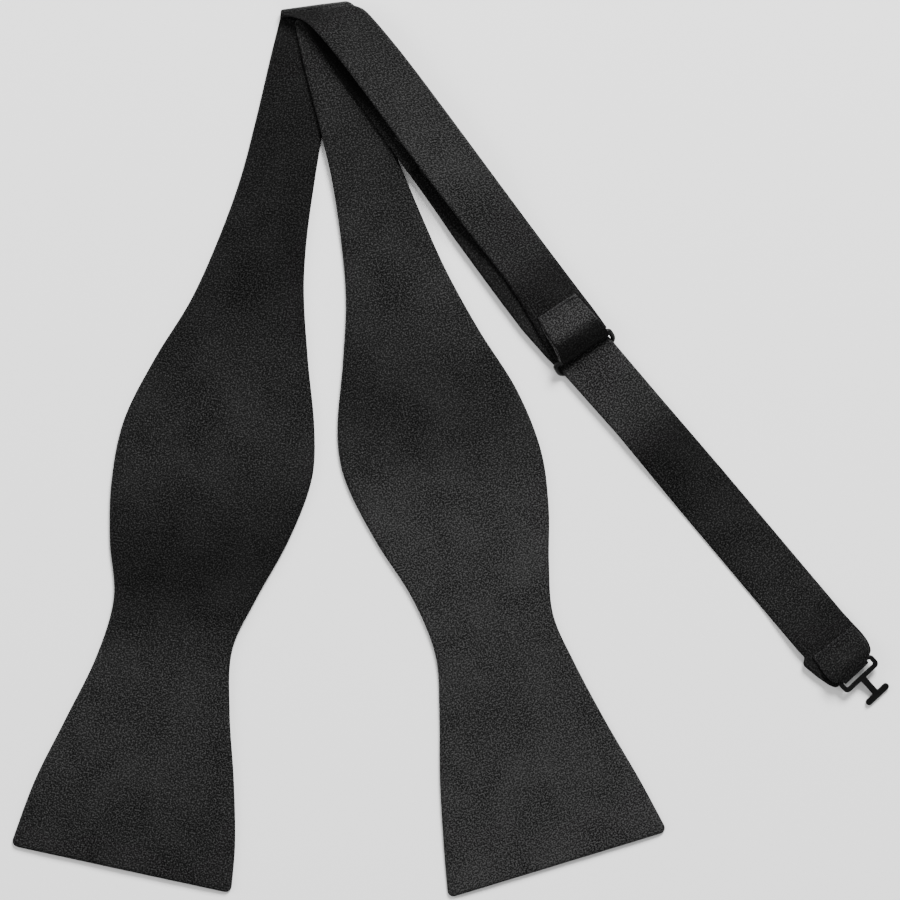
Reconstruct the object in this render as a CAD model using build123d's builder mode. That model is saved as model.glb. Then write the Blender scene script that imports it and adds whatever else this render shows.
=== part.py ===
from build123d import *
import os
from math import asin, atan2, cos, degrees, hypot, radians, sin

# A self-tie bow tie laid out flat, in millimetres. +Z is up, z = 0 is the table, +Y runs from the blade
# ends to the neck fold, and the origin is under the middle of the whole tie.
# The left half is a blade, a neck band and a wire slide. The right half is a blade, a short neck band and
# a wire eye. The end strap with the hook threads through the slide, and its tail lies under the neck band.

os.makedirs("parts", exist_ok=True)

# cloth
satin = 0.25  # one ply of satin
blade_thick = 1.4
strap_thick = 0.9
band_thick = 1.0
seam_inset = 0.7  # from a sewn edge to the interlining
gap = 0.3  # air between two layers that move apart
table_gap = 0.02
tuck_thick = 0.7  # the turned-back end that holds a fitting
hem_flat = 3.5  # level run at the end of a turned-back end
stitch_inset = 0.9  # from the hem to the row of stitches
stitch_share = 0.72  # how much of its pitch a stitch covers
stitch_width = 0.4
stitch_height = 0.2
fold_reach = 3.0  # room for a fold beyond its bar

# metal fittings
wire = 1.2
bore = 0.75  # inside radius of the cloth fold round a bar
plate = 1.0  # thickness of the stamped hook
slide_half = 10.3  # middle of the slide's side wires from its centre line
slide_run = 3.6  # plan distance between the slide's two bars
slide_corner = 2.0
eye_half = 6.2
eye_reach = 5.2
eye_corner = 1.4

# heights of the underside of each layer
right_blade_high = blade_thick + gap
right_band_low = right_blade_high + blade_thick + gap
end_strap_low = 1.5
left_band_low = end_strap_low + strap_thick + gap
left_band_high = right_band_low + strap_thick + 2 * bore + tuck_thick + gap
stack = left_band_high + band_thick
wide_cut = 20 * stack  # more than half the tie's width, for side views pushed through it

# the neck fold: a slanted crease at the top of the tie
fold_left = (-53.6, 136.0)
fold_right = (-29.6, 139.6)
crease_length = hypot(fold_right[0] - fold_left[0], fold_right[1] - fold_left[1])
fold_angle = atan2(fold_right[1] - fold_left[1], fold_right[0] - fold_left[0])
fold_line = (cos(fold_angle), sin(fold_angle))

# strap directions, clockwise from -Y
band_angle = radians(37.0)
loop_angle = radians(34.0)
end_angle = radians(40.1)
hook_angle = radians(43.0)

left_band_axis = (-41.6, 137.8)
right_band_axis = (-13.5, 105.5)
loop_centre = (42.6, 32.9)
end_strap_axis = (55.4, 16.8)

loop_width = 16.8
right_band_width = 17.4
end_strap_width = 18.2
hook_fold_width = 10.4

right_band_left_start = -45.4  # the two ends of the slanted start, from right_band_axis
right_band_right_start = -35.9
right_band_end = 14.0  # from right_band_axis to the fold round the eye
tail_end = -102.0  # along the end strap, from end_strap_axis
tail_bend = -76.0  # above this the tail turns a little, to lie under the right neck band
tail_shift = 3.0
hook_fold = 114.1
loop_length = 15.8
hook_loop_length = 10.5
eye_loop_length = 12.0


def heading(angle):
    """Plan direction of a strap that runs down the page, turned towards +X by an angle."""
    return (sin(angle), -cos(angle))


def along(start, angle, run, across=0.0):
    """The plan point that is run down a strap and across to its right."""
    d = heading(angle)
    return (start[0] + run * d[0] - across * d[1], start[1] + run * d[1] + across * d[0])


def side_plane(start, angle):
    """Upright plane along a strap: local x runs down the strap, and local y is height."""
    d = heading(angle)
    return Plane(origin=(start[0], start[1], 0), x_dir=(d[0], d[1], 0), z_dir=(d[1], -d[0], 0))


def moved_in(points, sideways, endways):
    """An edge's points moved sideways, with its top end brought down and its bottom end up."""
    edge = [(x + sideways, y) for x, y in points]
    edge[0] = (edge[0][0], edge[0][1] - endways)
    edge[-1] = (edge[-1][0], edge[-1][1] + endways)
    return edge


def edge_outline(left, right, inset=0.0):
    """Flat outline between a left and a right edge, each a curve through its points, top first."""
    with BuildSketch() as outline:
        with BuildLine():
            left_edge = Spline(*moved_in(left, inset, inset))
            right_edge = Spline(*moved_in(right, -inset, inset))
            Line(left_edge @ 0, right_edge @ 0)
            Line(left_edge @ 1, right_edge @ 1)
        make_face()
    return outline.sketch


def corner_outline(corners, inset=0.0):
    """Flat outline with straight sides."""
    with BuildSketch() as outline:
        Polygon(*corners, align=None)
        if inset:
            offset(amount=-inset, kind=Kind.INTERSECTION, mode=Mode.REPLACE)
    return outline.sketch


def drop_face(plane, run, heights, low, high):
    """Side view of a layer that lies level, comes down in one S and lies level again."""
    start, fall, land, end = run
    upper, lower = heights
    with BuildSketch(plane) as side:
        with BuildLine():
            for rise in (low, high):
                Line((start, upper + rise), (fall, upper + rise))
                Spline((fall, upper + rise), (land, lower + rise), tangents=((1, 0), (1, 0)))
                Line((land, lower + rise), (end, lower + rise))
            Line((start, upper + low), (start, upper + high))
            Line((end, lower + low), (end, lower + high))
        make_face()
    return side.sketch


def tuck_face(plane, fold, length, layer_top):
    """Side view of a strap's end turned back over a bar and laid flat on the strap again."""
    centre = layer_top + bore
    outside = bore + tuck_thick
    hem = fold - length
    level = hem + hem_flat
    with BuildSketch(plane) as side:
        with BuildLine():
            ThreePointArc((fold, centre - outside), (fold + outside, centre), (fold, centre + outside))
            Spline((fold, centre + outside), (level, layer_top + tuck_thick), tangents=((-1, 0), (-1, 0)))
            Line((level, layer_top + tuck_thick), (hem, layer_top + tuck_thick))
            Line((hem, layer_top + tuck_thick), (hem, layer_top))
            Line((hem, layer_top), (level, layer_top))
            Spline((level, layer_top), (fold, centre + bore), tangents=((1, 0), (1, 0)))
            ThreePointArc((fold, centre + bore), (fold + bore, centre), (fold, centre - bore))
            Line((fold, centre - bore), (fold, centre - outside))
        make_face()
    return side.sketch


def ring_corners(reach, half):
    """Corners of a wire ring whose first bar lies on the plane's y axis."""
    return [(0, half), (reach, half), (reach, -half), (0, -half)]


def stitch_row(start, angle, run, width, height, count=9):
    """A row of short thread bars across a strap, as one group of separate solids."""
    pitch = width / count
    spots = [along(start, angle, run, (i + 0.5) * pitch - width / 2) for i in range(count)]
    with Locations(*[Location((x, y, height), (0, 0, degrees(angle))) for x, y in spots]):
        Box(
            pitch * stitch_share,
            stitch_width,
            stitch_height,
            align=(Align.CENTER, Align.CENTER, Align.MIN),
        )


# ---- left blade: face, interlining and back, sewn round the edge ----

left_outer = [
    (-53.6, 136.0), (-57.3, 124.8), (-62.1, 105.6), (-67.2, 86.4), (-74.2, 67.2), (-82.9, 48.0),
    (-94.7, 28.8), (-104.3, 9.6), (-108.2, -9.6), (-108.8, -28.8), (-107.5, -47.0), (-112.9, -65.5),
    (-123.2, -86.4), (-132.8, -105.6), (-140.6, -126.5),
]
left_inner = [
    (-35.4, 138.7), (-37.4, 124.8), (-41.0, 100.2), (-43.2, 86.4), (-45.8, 67.2), (-46.7, 50.6),
    (-45.4, 28.8), (-43.3, 6.0), (-44.2, -9.6), (-51.5, -28.8), (-62.1, -48.0), (-69.6, -64.0),
    (-70.4, -84.0), (-69.1, -105.6), (-68.7, -126.0), (-70.0, -141.8),
]
left_blade_outline = edge_outline(left_outer, left_inner)
left_blade_pocket = edge_outline(left_outer, left_inner, seam_inset)

with BuildPart() as left_blade_back:
    extrude(left_blade_outline, amount=satin)
left_blade_back.part.label = "left_blade_back"
export_step(left_blade_back.part, "parts/left_blade_back.step")

with BuildPart() as left_blade_interlining:
    add(left_blade_pocket.moved(Location((0, 0, satin))))
    extrude(amount=blade_thick - 2 * satin)
left_blade_interlining.part.label = "left_blade_interlining"
export_step(left_blade_interlining.part, "parts/left_blade_interlining.step")

with BuildPart() as left_blade_face:
    add(left_blade_outline.moved(Location((0, 0, satin))))
    extrude(amount=blade_thick - satin)
    add(left_blade_interlining.part, mode=Mode.SUBTRACT)
left_blade_face.part.label = "left_blade_face"
export_step(left_blade_face.part, "parts/left_blade_face.step")

# ---- right blade: rides over the left one at the neck and comes down to the table ----

right_outer = [
    (-32.0, 139.1), (-29.4, 128.0), (-25.6, 113.6), (-20.8, 102.4), (-16.0, 91.2), (-9.9, 76.8),
    (-1.3, 57.6), (9.3, 38.4), (21.4, 19.2), (29.1, 0.0), (31.6, -18.0), (31.7, -36.0),
    (33.0, -52.5), (39.4, -67.2), (49.6, -86.4), (60.8, -105.6), (69.6, -122.0),
]
right_inner = [
    (-49.6, 136.5), (-47.4, 125.8), (-44.6, 114.6), (-41.0, 100.2), (-37.8, 86.4), (-34.9, 67.2),
    (-33.3, 48.0), (-34.2, 28.8), (-36.0, 5.0), (-33.6, -9.6), (-24.0, -28.8), (-11.8, -48.0),
    (-4.6, -66.0), (-3.4, -84.0), (-3.2, -105.6), (-1.9, -128.0), (-0.6, -143.4),
]
right_blade_outline = edge_outline(right_inner, right_outer)
right_blade_pocket = edge_outline(right_inner, right_outer, seam_inset)
blade_side = side_plane((0, 140.0), 0)
blade_run = (0.0, 38.0, 84.0, 286.0)
blade_heights = (right_blade_high, 0.0)

with BuildPart() as right_blade_back:
    extrude(right_blade_outline, amount=stack)
    back_side = drop_face(blade_side, blade_run, blade_heights, 0, satin)
    extrude(back_side, amount=wide_cut, both=True, mode=Mode.INTERSECT)
right_blade_back.part.label = "right_blade_back"
export_step(right_blade_back.part, "parts/right_blade_back.step")

with BuildPart() as right_blade_interlining:
    extrude(right_blade_pocket, amount=stack)
    core_side = drop_face(blade_side, blade_run, blade_heights, satin, blade_thick - satin)
    extrude(core_side, amount=wide_cut, both=True, mode=Mode.INTERSECT)
right_blade_interlining.part.label = "right_blade_interlining"
export_step(right_blade_interlining.part, "parts/right_blade_interlining.step")

with BuildPart() as right_blade_face:
    extrude(right_blade_outline, amount=stack)
    face_side = drop_face(blade_side, blade_run, blade_heights, satin, blade_thick)
    extrude(face_side, amount=wide_cut, both=True, mode=Mode.INTERSECT)
    add(right_blade_interlining.part, mode=Mode.SUBTRACT)
right_blade_face.part.label = "right_blade_face"
export_step(right_blade_face.part, "parts/right_blade_face.step")

# ---- the two bends of cloth at the neck fold, one inside the other ----

right_fold_start = 4.0
crease_plane = Plane(
    origin=(fold_left[0], fold_left[1], 0),
    x_dir=(-fold_line[1], fold_line[0], 0),
    z_dir=(fold_line[0], fold_line[1], 0),
)

with BuildPart() as left_fold:
    with BuildSketch(crease_plane):
        with Locations((0, stack / 2)):
            Circle(stack / 2)
            Circle(stack / 2 - band_thick, mode=Mode.SUBTRACT)
        with Locations((-stack / 2, stack / 2)):
            Rectangle(stack, stack, mode=Mode.SUBTRACT)
    extrude(amount=crease_length)
left_fold.part.label = "left_fold"
export_step(left_fold.part, "parts/left_fold.step")

right_stack = right_band_low + strap_thick - right_blade_high
right_middle = right_blade_high + right_stack / 2
with BuildPart() as right_fold:
    with BuildSketch(crease_plane.offset(right_fold_start)):
        with Locations((0, right_middle)):
            Circle(right_stack / 2)
            Circle(right_stack / 2 - strap_thick, mode=Mode.SUBTRACT)
        with Locations((-right_stack / 2, right_middle)):
            Rectangle(right_stack, right_stack, mode=Mode.SUBTRACT)
    extrude(amount=crease_length - right_fold_start)
right_fold.part.label = "right_fold"
export_step(right_fold.part, "parts/right_fold.step")

# ---- left neck band: lies on top and comes down to the slide ----

left_band_left = [
    (-51.8, 135.9), (-45.6, 134.2), (-36.2, 126.1), (-27.8, 114.2), (-10.4, 90.9),
    (8.2, 66.6), (27.8, 41.6), along(loop_centre, loop_angle, 0, -loop_width / 2),
]
left_band_right = [
    (-29.8, 139.2), (-26.0, 138.0), (-21.8, 134.4), (-6.7, 115.2), (14.7, 86.4),
    (29.1, 67.2), (41.6, 50.4), along(loop_centre, loop_angle, 0, loop_width / 2),
]
left_band_outline = edge_outline(left_band_left, left_band_right)
left_band_pocket = edge_outline(left_band_left, left_band_right, seam_inset)
left_band_side = side_plane(left_band_axis, band_angle)
left_band_run = (-14.0, 62.0, 102.0, 146.0)
left_band_heights = (left_band_high, left_band_low)

with BuildPart() as left_band_back:
    extrude(left_band_outline, amount=stack)
    back_side = drop_face(left_band_side, left_band_run, left_band_heights, 0, satin)
    extrude(back_side, amount=wide_cut, both=True, mode=Mode.INTERSECT)
left_band_back.part.label = "left_band_back"
export_step(left_band_back.part, "parts/left_band_back.step")

with BuildPart() as left_band_interlining:
    extrude(left_band_pocket, amount=stack)
    core_side = drop_face(left_band_side, left_band_run, left_band_heights, satin, band_thick - satin)
    extrude(core_side, amount=wide_cut, both=True, mode=Mode.INTERSECT)
left_band_interlining.part.label = "left_band_interlining"
export_step(left_band_interlining.part, "parts/left_band_interlining.step")

with BuildPart() as left_band_face:
    extrude(left_band_outline, amount=stack)
    face_side = drop_face(left_band_side, left_band_run, left_band_heights, satin, band_thick)
    extrude(face_side, amount=wide_cut, both=True, mode=Mode.INTERSECT)
    add(left_band_interlining.part, mode=Mode.SUBTRACT)
left_band_face.part.label = "left_band_face"
export_step(left_band_face.part, "parts/left_band_face.step")

left_band_top = left_band_low + band_thick
with BuildPart() as slide_loop:
    loop_side = tuck_face(side_plane(loop_centre, loop_angle), 0, loop_length, left_band_top)
    extrude(loop_side, amount=loop_width / 2, both=True)
slide_loop.part.label = "slide_loop"
export_step(slide_loop.part, "parts/slide_loop.step")

with BuildPart() as slide_loop_stitches:
    stitch_row(
        loop_centre, loop_angle, stitch_inset - loop_length, loop_width - 2, left_band_top + tuck_thick
    )
slide_loop_stitches.part.label = "slide_loop_stitches"
export_step(slide_loop_stitches.part, "parts/slide_loop_stitches.step")

# ---- wire slide: one bar in the loop, the other under the end strap ----

inner_bar_z = left_band_top + bore
outer_bar_z = wire / 2 + table_gap
slide_length = (slide_run**2 + (inner_bar_z - outer_bar_z) ** 2) ** 0.5
slide_tip = along(loop_centre, loop_angle, slide_run)
slide_plane = Plane(
    origin=(loop_centre[0], loop_centre[1], inner_bar_z),
    x_dir=(slide_tip[0] - loop_centre[0], slide_tip[1] - loop_centre[1], outer_bar_z - inner_bar_z),
    z_dir=(
        heading(loop_angle)[0] * (inner_bar_z - outer_bar_z),
        heading(loop_angle)[1] * (inner_bar_z - outer_bar_z),
        slide_run,
    ),
)

with BuildPart() as slide:
    with BuildLine(slide_plane) as slide_path:
        FilletPolyline(*ring_corners(slide_length, slide_half), radius=slide_corner, close=True)
    with BuildSketch(Plane(slide_path.wire() @ 0, z_dir=slide_path.wire() % 0)):
        Circle(wire / 2)
    sweep()
slide.part.label = "slide"
export_step(slide.part, "parts/slide.step")

# ---- right neck band: short, hidden under the left one, with the eye at its end ----

right_half_width = right_band_width / 2
right_band_corners = [
    along(right_band_axis, band_angle, right_band_left_start, -right_half_width),
    along(right_band_axis, band_angle, right_band_end, -right_half_width),
    along(right_band_axis, band_angle, right_band_end, right_half_width),
    along(right_band_axis, band_angle, right_band_right_start, right_half_width),
]
right_band_outline = corner_outline(right_band_corners)
right_band_pocket = corner_outline(right_band_corners, seam_inset)

with BuildPart() as right_band_back:
    add(right_band_outline.moved(Location((0, 0, right_band_low))))
    extrude(amount=satin)
right_band_back.part.label = "right_band_back"
export_step(right_band_back.part, "parts/right_band_back.step")

with BuildPart() as right_band_interlining:
    add(right_band_pocket.moved(Location((0, 0, right_band_low + satin))))
    extrude(amount=strap_thick - 2 * satin)
right_band_interlining.part.label = "right_band_interlining"
export_step(right_band_interlining.part, "parts/right_band_interlining.step")

with BuildPart() as right_band_face:
    add(right_band_outline.moved(Location((0, 0, right_band_low + satin))))
    extrude(amount=strap_thick - satin)
    add(right_band_interlining.part, mode=Mode.SUBTRACT)
right_band_face.part.label = "right_band_face"
export_step(right_band_face.part, "parts/right_band_face.step")

eye_centre = along(right_band_axis, band_angle, right_band_end)
right_band_top = right_band_low + strap_thick
eye_fold_width = 2 * (eye_half - eye_corner)
with BuildPart() as eye_loop:
    loop_side = tuck_face(side_plane(eye_centre, band_angle), 0, eye_loop_length, right_band_top)
    extrude(loop_side, amount=eye_fold_width / 2, both=True)
eye_loop.part.label = "eye_loop"
export_step(eye_loop.part, "parts/eye_loop.step")

with BuildPart() as eye_loop_stitches:
    stitch_row(
        eye_centre,
        band_angle,
        stitch_inset - eye_loop_length,
        eye_fold_width - 1,
        right_band_top + tuck_thick,
        count=6,
    )
eye_loop_stitches.part.label = "eye_loop_stitches"
export_step(eye_loop_stitches.part, "parts/eye_loop_stitches.step")

# ---- wire eye that the hook's cross bar goes through ----

eye_z = right_band_top + bore
eye_tip = heading(band_angle)
eye_plane = Plane(
    origin=(eye_centre[0], eye_centre[1], eye_z),
    x_dir=(eye_tip[0], eye_tip[1], 0),
    z_dir=(0, 0, 1),
)

with BuildPart() as eye:
    with BuildLine(eye_plane) as eye_path:
        FilletPolyline(*ring_corners(eye_reach, eye_half), radius=eye_corner, close=True)
    with BuildSketch(Plane(eye_path.wire() @ 0, z_dir=eye_path.wire() % 0)):
        Circle(wire / 2)
    sweep()
eye.part.label = "eye"
export_step(eye.part, "parts/eye.step")

# ---- end strap: slides through the slide, with the hook in its turned-back end ----

end_half_width = end_strap_width / 2
hook_half_width = hook_fold_width / 2
taper_start = hook_fold - hook_loop_length
hook_centre = along(end_strap_axis, end_angle, hook_fold)
end_strap_corners = [
    along(end_strap_axis, end_angle, tail_end, tail_shift - end_half_width),
    along(end_strap_axis, end_angle, tail_bend, -end_half_width),
    along(end_strap_axis, end_angle, taper_start, -end_half_width),
    along(hook_centre, hook_angle, 0, -hook_half_width),
    along(hook_centre, hook_angle, 0, hook_half_width),
    along(end_strap_axis, end_angle, taper_start, end_half_width),
    along(end_strap_axis, end_angle, tail_bend, end_half_width),
    along(end_strap_axis, end_angle, tail_end, tail_shift + end_half_width),
]
end_strap_outline = corner_outline(end_strap_corners)
end_strap_pocket = corner_outline(end_strap_corners, seam_inset)

with BuildPart() as end_strap_back:
    add(end_strap_outline.moved(Location((0, 0, end_strap_low))))
    extrude(amount=satin)
end_strap_back.part.label = "end_strap_back"
export_step(end_strap_back.part, "parts/end_strap_back.step")

with BuildPart() as end_strap_interlining:
    add(end_strap_pocket.moved(Location((0, 0, end_strap_low + satin))))
    extrude(amount=strap_thick - 2 * satin)
end_strap_interlining.part.label = "end_strap_interlining"
export_step(end_strap_interlining.part, "parts/end_strap_interlining.step")

with BuildPart() as end_strap_face:
    add(end_strap_outline.moved(Location((0, 0, end_strap_low + satin))))
    extrude(amount=strap_thick - satin)
    add(end_strap_interlining.part, mode=Mode.SUBTRACT)
end_strap_face.part.label = "end_strap_face"
export_step(end_strap_face.part, "parts/end_strap_face.step")

end_strap_top = end_strap_low + strap_thick
hook_loop_corners = [
    along(hook_centre, end_angle, -hook_loop_length, -end_half_width),
    along(hook_centre, hook_angle, 0, -hook_half_width),
    along(hook_centre, hook_angle, fold_reach, -hook_half_width),
    along(hook_centre, hook_angle, fold_reach, hook_half_width),
    along(hook_centre, hook_angle, 0, hook_half_width),
    along(hook_centre, end_angle, -hook_loop_length, end_half_width),
]
with BuildPart() as hook_loop:
    extrude(corner_outline(hook_loop_corners), amount=stack)
    loop_side = tuck_face(side_plane(hook_centre, hook_angle), 0, hook_loop_length, end_strap_top)
    extrude(loop_side, amount=end_strap_width, both=True, mode=Mode.INTERSECT)
hook_loop.part.label = "hook_loop"
export_step(hook_loop.part, "parts/hook_loop.step")

with BuildPart() as hook_loop_stitches:
    stitch_row(
        hook_centre,
        hook_angle,
        stitch_inset - hook_loop_length,
        end_strap_width - 4,
        end_strap_top + tuck_thick,
    )
hook_loop_stitches.part.label = "hook_loop_stitches"
export_step(hook_loop_stitches.part, "parts/hook_loop_stitches.step")

# ---- stamped hook: a slotted frame, a stem and a cross bar, leaning down to the table ----

hook_bar = 1.0  # width of the bar in the fold
frame_bar = 1.5  # width of the frame's other three sides
frame_half = 7.2
frame_reach = 3.5
frame_corner = 1.6
window_corner = 0.5
cross_middle = 11.1
cross_half = 3.65
cross_width = 2.1
stem_width = 2.1
hook_z = end_strap_top + bore
hook_lean = asin((hook_z - plate / 2 - gap) / cross_middle)
hook_tip = heading(hook_angle)
hook_plane = Plane(
    origin=(hook_centre[0], hook_centre[1], hook_z),
    x_dir=(hook_tip[0] * cos(hook_lean), hook_tip[1] * cos(hook_lean), -sin(hook_lean)),
    z_dir=(hook_tip[0] * sin(hook_lean), hook_tip[1] * sin(hook_lean), cos(hook_lean)),
)

frame_start = -hook_bar / 2
frame_end = frame_reach + frame_bar / 2
window_start = hook_bar / 2
window_end = frame_reach - frame_bar / 2

with BuildPart() as hook:
    with BuildSketch(hook_plane):
        with Locations(((frame_start + frame_end) / 2, 0)):
            RectangleRounded(frame_end - frame_start, 2 * frame_half, frame_corner)
        with Locations(((window_start + window_end) / 2, 0)):
            RectangleRounded(
                window_end - window_start,
                2 * (frame_half - frame_bar),
                window_corner,
                mode=Mode.SUBTRACT,
            )
        with Locations(((frame_reach + cross_middle) / 2, 0)):
            Rectangle(cross_middle - frame_reach, stem_width)
        with Locations((cross_middle, 0)):
            SlotCenterToCenter(2 * cross_half, cross_width, rotation=90)
    extrude(amount=plate / 2, both=True)
hook.part.label = "hook"
export_step(hook.part, "parts/hook.step")
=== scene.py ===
import math
import bmesh
import bpy
from mathutils import Matrix, Vector, noise


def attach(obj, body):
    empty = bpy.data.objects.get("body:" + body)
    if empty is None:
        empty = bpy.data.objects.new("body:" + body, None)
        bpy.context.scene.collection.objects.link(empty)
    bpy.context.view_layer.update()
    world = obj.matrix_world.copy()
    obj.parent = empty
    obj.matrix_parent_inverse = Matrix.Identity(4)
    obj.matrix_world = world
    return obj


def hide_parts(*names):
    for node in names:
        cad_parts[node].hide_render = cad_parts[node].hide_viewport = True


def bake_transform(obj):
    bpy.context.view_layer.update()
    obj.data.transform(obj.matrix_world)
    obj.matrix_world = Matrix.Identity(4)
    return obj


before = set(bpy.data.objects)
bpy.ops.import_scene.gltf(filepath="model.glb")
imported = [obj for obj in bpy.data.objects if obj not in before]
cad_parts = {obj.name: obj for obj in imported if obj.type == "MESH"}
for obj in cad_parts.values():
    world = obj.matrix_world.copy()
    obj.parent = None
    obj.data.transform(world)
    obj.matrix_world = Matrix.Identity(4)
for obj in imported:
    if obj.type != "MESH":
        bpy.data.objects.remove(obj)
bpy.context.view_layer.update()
print("frame loaded")

# A black satin self-tie bow tie laid out flat. Lengths are in millimetres, and mm turns them to metres as
# each piece is finished. z = 0 is the table, and +Y runs from the blade ends to the neck fold.
mm = 0.001
upward = Vector((0, 0, 1))

# the camera looks straight down at the table
view = {
    "width": 288.0,         # of the table that the camera sees
    "distance": 1600.0,
    "sensor": 36.0,
    "near": 50.0,
    "far": 20000.0,
    "floorSize": 6000.0,    # one side of the floor
    "worldStrength": 0.5,
}


def linear(hexColour):
    channels = [int(hexColour[i:i + 2], 16) / 255 for i in (1, 3, 5)]
    return [c / 12.92 if c <= 0.04045 else ((c + 0.055) / 1.055) ** 2.4 for c in channels] + [1.0]


def addNode(tree, kind, settings=(), links=()):
    # settings are properties or input values by name, and links are the sockets that feed inputs
    node = tree.nodes.new(kind)
    for name, value in dict(settings).items():
        if isinstance(name, int) or name in node.inputs:
            node.inputs[name].default_value = value
        else:
            setattr(node, name, value)
    for name, socket in dict(links).items():
        tree.links.new(socket, node.inputs[name])
    return node


def newMaterial(name):
    material = bpy.data.materials.new(name)
    material.use_nodes = True
    material.node_tree.nodes.clear()
    return material, material.node_tree


def surface(tree, shader):
    addNode(tree, "ShaderNodeOutputMaterial", {}, {"Surface": shader.outputs[0]})


def paleFloor():
    # matt white painted board, rolled: even, with no shine
    material, tree = newMaterial("matt_white_paint")
    surface(tree, addNode(tree, "ShaderNodeBsdfPrincipled", {
        "Base Color": linear("#f7f7f7"),
        "Roughness": 0.9,
        "Specular IOR Level": 0.1,
    }))
    return material


camera = bpy.data.objects.new("camera", bpy.data.cameras.new("camera"))
bpy.context.scene.collection.objects.link(camera)
camera.data.sensor_width = view["sensor"]
camera.data.lens = view["sensor"] * view["distance"] / view["width"]
camera.data.clip_start = view["near"] * mm
camera.data.clip_end = view["far"] * mm
camera.location = (0, 0, view["distance"] * mm)
bpy.context.scene.camera = camera

floorBm = bmesh.new()
bmesh.ops.create_grid(floorBm, x_segments=1, y_segments=1, size=view["floorSize"] / 2 * mm)
floorMesh = bpy.data.meshes.new("floor")
floorBm.to_mesh(floorMesh)
floorBm.free()
floorMesh.materials.append(paleFloor())
floor = bpy.data.objects.new("floor", floorMesh)
bpy.context.scene.collection.objects.link(floor)

# soft boxes: place, aim, size and power
softBoxes = {
    "keyBox": {"at": (500, 1500, 1250), "size": 800, "watts": 105},
    "sideBox": {"at": (-1500, 500, 900), "size": 900, "watts": 14},
    "lowBox": {"at": (900, -1600, 900), "size": 1200, "watts": 7},
}

for name, box in softBoxes.items():
    lamp = bpy.data.lights.new(name, "AREA")
    lamp.size = box["size"] * mm
    lamp.energy = box["watts"]
    lampObject = bpy.data.objects.new(name, lamp)
    lampObject.location = Vector(box["at"]) * mm
    lampObject.rotation_euler = (-Vector(box["at"])).to_track_quat("-Z", "Y").to_euler()
    bpy.context.scene.collection.objects.link(lampObject)

world = bpy.data.worlds.new("studio")
world.use_nodes = True
world.node_tree.nodes["Background"].inputs["Color"].default_value = linear("#ffffff")
world.node_tree.nodes["Background"].inputs["Strength"].default_value = view["worldStrength"]
bpy.context.scene.world = world
print("camera, floor and lights done")


# at this scale a wave texture has one band in each millimetre
waveScale = 0.314

satin = {
    "dark": "#020202",
    "light": "#383838",
    "rowPitch": 0.9,        # mm between twill rows; real ones are 0.15, drawn coarse enough to show
    "grain": 0.5,           # mm, the grain of single floats, also painted into the colour as their glints; real ones are 0.1, drawn coarse enough to show
    "slub": 1.1,            # mm, thicker threads
    "mottle": 16.0,         # mm, pressing marks
    "roughness": 0.42,
    "glint": 0.035,         # specular level
    "slubHeight": 0.5,      # share of the grain's height
    "rowHeight": 0.3,
    "bump": 0.03,           # mm
}


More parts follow.
